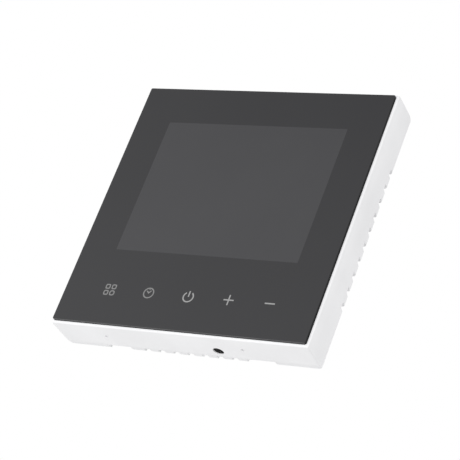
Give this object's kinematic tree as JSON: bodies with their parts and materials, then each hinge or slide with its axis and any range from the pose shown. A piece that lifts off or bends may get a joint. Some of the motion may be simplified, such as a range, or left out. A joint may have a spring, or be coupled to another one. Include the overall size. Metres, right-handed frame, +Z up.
{
  "type": "wall thermostat",
  "caption": "Square wall thermostat with a dark glass touch front and display, a white vented frame, a steel mounting plate and a rear power box for a flush wall box.",
  "frame": {"origin": "centre of the wall face: the rear face of the mounting plate, midway between the two wall screws", "axes": "+X to the right and +Z up as the thermostat hangs on the wall, +Y into the wall, so the glass faces -Y"},
  "size_m": [0.086, 0.0405, 0.086],
  "materials": {
    "frame_white": "satin moulded, fine grain",
    "dark_glass": "polished, printed black behind",
    "foam_tape": "matt",
    "display_glass": "polished",
    "light_guide": "clear acrylic with dots",
    "holder_white": "satin",
    "flex_film": "satin film",
    "gold_plate": "bright",
    "board_green": "solder mask, satin",
    "chip_black": "matt",
    "tin_shield": "tin plate, satin",
    "led_body": "gloss",
    "sensor_epoxy": "wet gloss",
    "tinned_wire": "tinned",
    "screw_steel": "zinc plated, satin",
    "zinc_steel": "galvanised sheet, satin",
    "spring_steel": "stainless, satin",
    "box_plastic": "spark-textured, matt",
    "copper_winding": "enamelled wire",
    "relay_iron": "nickel plated",
    "relay_blue": "satin",
    "ferrite": "matt, fine grain",
    "yellow_tape": "polyester tape, satin",
    "capacitor_sleeve": "shrink sleeve, gloss",
    "capacitor_yellow": "gloss",
    "varistor_blue": "dipped epoxy, gloss",
    "fuse_ceramic": "glazed",
    "terminal_green": "satin",
    "terminal_brass": "satin"
  },
  "bodies": {
    "base": {"mounting_plate": "zinc_steel", "latch_springs": "spring_steel", "rear_box": "box_plastic", "box_screws": "screw_steel", "power_board": "board_green", "power_board_screws": "screw_steel", "pin_socket": "chip_black", "relay_base": "chip_black", "relay_coil": "copper_winding", "relay_yoke": "relay_iron", "relay_case": "relay_blue", "transformer_core": "ferrite", "transformer_winding": "yellow_tape", "smoothing_capacitor": "capacitor_sleeve", "film_capacitor": "capacitor_yellow", "varistor": "varistor_blue", "fuse": "fuse_ceramic", "terminal_block": "terminal_green", "terminal_bars": "terminal_brass"},
    "front_panel": {"front_frame": "frame_white", "glass_panel": "dark_glass", "glass_tape": "foam_tape", "lcd_cell": "display_glass", "light_guide": "light_guide", "lcd_holder": "holder_white", "lcd_flex": "flex_film", "touch_springs": "gold_plate", "front_board": "board_green", "controller_chip": "chip_black", "wifi_module": "tin_shield", "buzzer": "chip_black", "reset_switch": "tin_shield", "status_led": "led_body", "sensor_bead": "sensor_epoxy", "sensor_leads": "tinned_wire", "pin_header": "chip_black", "header_pins": "gold_plate", "front_board_screws": "screw_steel"},
    "reset_plunger": {"reset_plunger": "chip_black"},
    "relay_armature": {"relay_armature": "relay_iron"},
    "terminal_screw_1": {"terminal_screw_1": "screw_steel"},
    "terminal_screw_2": {"terminal_screw_2": "screw_steel"},
    "terminal_screw_3": {"terminal_screw_3": "screw_steel"},
    "terminal_screw_4": {"terminal_screw_4": "screw_steel"},
    "terminal_screw_5": {"terminal_screw_5": "screw_steel"},
    "terminal_screw_6": {"terminal_screw_6": "screw_steel"},
    "terminal_clamp_1": {"terminal_clamp_1": "terminal_brass"},
    "terminal_clamp_2": {"terminal_clamp_2": "terminal_brass"},
    "terminal_clamp_3": {"terminal_clamp_3": "terminal_brass"},
    "terminal_clamp_4": {"terminal_clamp_4": "terminal_brass"},
    "terminal_clamp_5": {"terminal_clamp_5": "terminal_brass"},
    "terminal_clamp_6": {"terminal_clamp_6": "terminal_brass"}
  },
  "joints": [
    {"name": "panel_slide", "type": "slide", "parent": "base", "child": "front_panel", "axis": [0, -1, 0], "range_m": [0, 0.025], "deforming": ["latch_springs"]},
    {"name": "reset_press", "type": "slide", "parent": "front_panel", "child": "reset_plunger", "axis": [0, 0, 1], "range_m": [0, 0.00025], "stiffness_N_per_m": 800, "springref_m": -0.0015},
    {"name": "armature_tilt", "type": "hinge", "parent": "base", "child": "relay_armature", "pos_m": [-0.0115, 0.01685, -0.00395], "axis": [0, 0, -1], "range_deg": [0, 3], "stiffness_Nm_per_rad": 0.02, "springref_deg": -2.86},
    {"name": "clamp_rise_1", "type": "slide", "parent": "base", "child": "terminal_clamp_1", "axis": [0, 1, 0], "range_m": [0, 0.00225]},
    {"name": "screw_turn_1", "type": "hinge", "parent": "base", "child": "terminal_screw_1", "pos_m": [-0.0127, 0.018, -0.019], "axis": [0, -1, 0], "range_deg": [0, 1801]},
    {"name": "clamp_rise_2", "type": "slide", "parent": "base", "child": "terminal_clamp_2", "axis": [0, 1, 0], "range_m": [0, 0.00225]},
    {"name": "screw_turn_2", "type": "hinge", "parent": "base", "child": "terminal_screw_2", "pos_m": [-0.00762, 0.018, -0.019], "axis": [0, -1, 0], "range_deg": [0, 1801]},
    {"name": "clamp_rise_3", "type": "slide", "parent": "base", "child": "terminal_clamp_3", "axis": [0, 1, 0], "range_m": [0, 0.00225]},
    {"name": "screw_turn_3", "type": "hinge", "parent": "base", "child": "terminal_screw_3", "pos_m": [-0.00254, 0.018, -0.019], "axis": [0, -1, 0], "range_deg": [0, 1801]},
    {"name": "clamp_rise_4", "type": "slide", "parent": "base", "child": "terminal_clamp_4", "axis": [0, 1, 0], "range_m": [0, 0.00225]},
    {"name": "screw_turn_4", "type": "hinge", "parent": "base", "child": "terminal_screw_4", "pos_m": [0.00254, 0.018, -0.019], "axis": [0, -1, 0], "range_deg": [0, 1801]},
    {"name": "clamp_rise_5", "type": "slide", "parent": "base", "child": "terminal_clamp_5", "axis": [0, 1, 0], "range_m": [0, 0.00225]},
    {"name": "screw_turn_5", "type": "hinge", "parent": "base", "child": "terminal_screw_5", "pos_m": [0.00762, 0.018, -0.019], "axis": [0, -1, 0], "range_deg": [0, 1801]},
    {"name": "clamp_rise_6", "type": "slide", "parent": "base", "child": "terminal_clamp_6", "axis": [0, 1, 0], "range_m": [0, 0.00225]},
    {"name": "screw_turn_6", "type": "hinge", "parent": "base", "child": "terminal_screw_6", "pos_m": [0.0127, 0.018, -0.019], "axis": [0, -1, 0], "range_deg": [0, 1801]}
  ],
  "couplings": [
    {"joint": "screw_turn_1", "follows": "clamp_rise_1", "rad_per_m": 13963},
    {"joint": "screw_turn_2", "follows": "clamp_rise_2", "rad_per_m": 13963},
    {"joint": "screw_turn_3", "follows": "clamp_rise_3", "rad_per_m": 13963},
    {"joint": "screw_turn_4", "follows": "clamp_rise_4", "rad_per_m": 13963},
    {"joint": "screw_turn_5", "follows": "clamp_rise_5", "rad_per_m": 13963},
    {"joint": "screw_turn_6", "follows": "clamp_rise_6", "rad_per_m": 13963}
  ]
}
